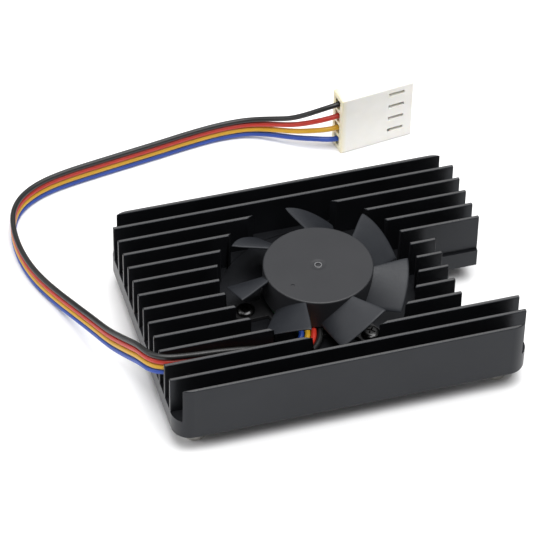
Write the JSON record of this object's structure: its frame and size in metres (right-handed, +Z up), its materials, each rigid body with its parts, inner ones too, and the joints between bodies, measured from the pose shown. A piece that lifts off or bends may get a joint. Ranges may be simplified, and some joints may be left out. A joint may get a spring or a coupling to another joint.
{
  "type": "fan heatsink",
  "caption": "Black finned aluminium heatsink with a sunken axial fan, an antenna notch, corner standoffs and a coloured lead ending in a white plug.",
  "frame": {"origin": "centre of the heatsink block in plan, at the bottom faces of the standoffs", "axes": "+X along the fins towards the antenna notch, +Y across the fins away from the lead's channel, +Z up out of the fan"},
  "size_m": [0.0708, 0.0682, 0.0137],
  "materials": {
    "anodised_aluminium": "black anodised, satin",
    "nickel": "nickel plated brass",
    "thermal_pad": "soft silicone",
    "fan_plastic": "moulded, fine matt",
    "black_steel": "black oxide, glossy",
    "steel": "bright steel",
    "magnet": "bonded ferrite",
    "bronze": "sintered bronze",
    "felt": "oiled felt",
    "polymer": "moulded",
    "insulator": "moulded",
    "copper": "enamelled copper wire",
    "circuit_board": "solder mask",
    "chip": "epoxy package",
    "ceramic_cap": "ceramic",
    "pvc_blue": "smooth flexible insulation",
    "pvc_yellow": "smooth flexible insulation",
    "pvc_red": "smooth flexible insulation",
    "pvc_black": "smooth flexible insulation",
    "nylon": "moulded natural nylon",
    "tin": "tin plated"
  },
  "bodies": {
    "base": {"heatsink": "anodised_aluminium", "standoff_front_left": "nickel", "standoff_front_right": "nickel", "standoff_back_left": "nickel", "standoff_back_right": "nickel", "thermal_pad": "thermal_pad", "fan_base": "fan_plastic", "fan_screw_1": "black_steel", "fan_screw_2": "black_steel", "fan_screw_3": "black_steel", "sleeve_bearing": "bronze", "oil_seal": "felt", "thrust_pad": "polymer", "stator_core": "steel", "insulator_top": "insulator", "insulator_bottom": "insulator", "coil_1": "copper", "coil_2": "copper", "coil_3": "copper", "coil_4": "copper", "fan_board": "circuit_board", "hall_sensor": "chip", "driver_chip": "chip", "capacitor": "ceramic_cap", "resistor": "chip", "wire_blue": "pvc_blue", "wire_yellow": "pvc_yellow", "wire_red": "pvc_red", "wire_black": "pvc_black", "connector_housing": "nylon", "contact_1": "tin", "contact_2": "tin", "contact_3": "tin", "contact_4": "tin"},
    "rotor": {"impeller": "fan_plastic", "yoke_ring": "steel", "magnet_ring": "magnet", "shaft": "steel", "retaining_clip": "bronze"}
  },
  "joints": [
    {"name": "fan_spin", "type": "hinge", "parent": "base", "child": "rotor", "pos_m": [0.00025, 0.0002, 0.0102], "axis": [0, 0, 1], "continuous": true}
  ]
}
